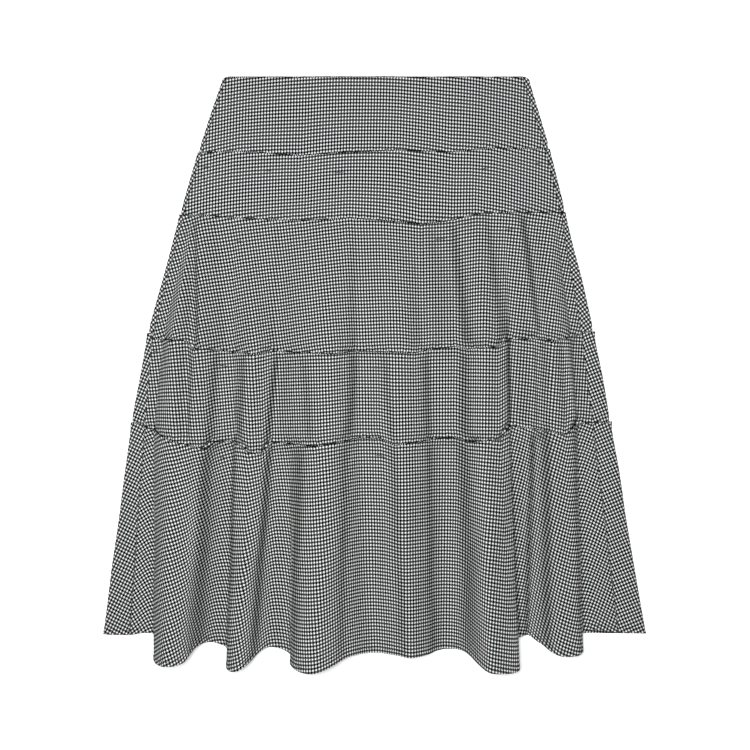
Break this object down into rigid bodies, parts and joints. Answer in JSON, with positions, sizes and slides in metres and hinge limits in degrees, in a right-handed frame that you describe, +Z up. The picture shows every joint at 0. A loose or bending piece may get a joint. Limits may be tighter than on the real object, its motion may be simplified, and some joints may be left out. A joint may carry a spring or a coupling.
{
  "type": "tiered ruffle skirt, laid flat",
  "caption": "Knee-length tiered skirt in a small black and white check, laid flat, with lapped ruffled seams and deep folds running down to the hem.",
  "frame": {"origin": "middle of the skirt's outline, on the surface that it lies on", "axes": "+Z up from the surface through the back and then the front; +Y from the hem towards the waist; +X to the right as seen from above"},
  "size_m": [0.6015, 0.6511, 0.0573],
  "materials": {
    "check": "matt woven or knitted houndstooth in black and white"
  },
  "bodies": {
    "root": {"yoke_front": "check", "yoke_back": "check", "tier2_front": "check", "tier2_back": "check", "tier3_front": "check", "tier3_back": "check", "tier4_front": "check", "tier4_back": "check", "tier5_front": "check", "tier5_back": "check"}
  },
  "joints": []
}
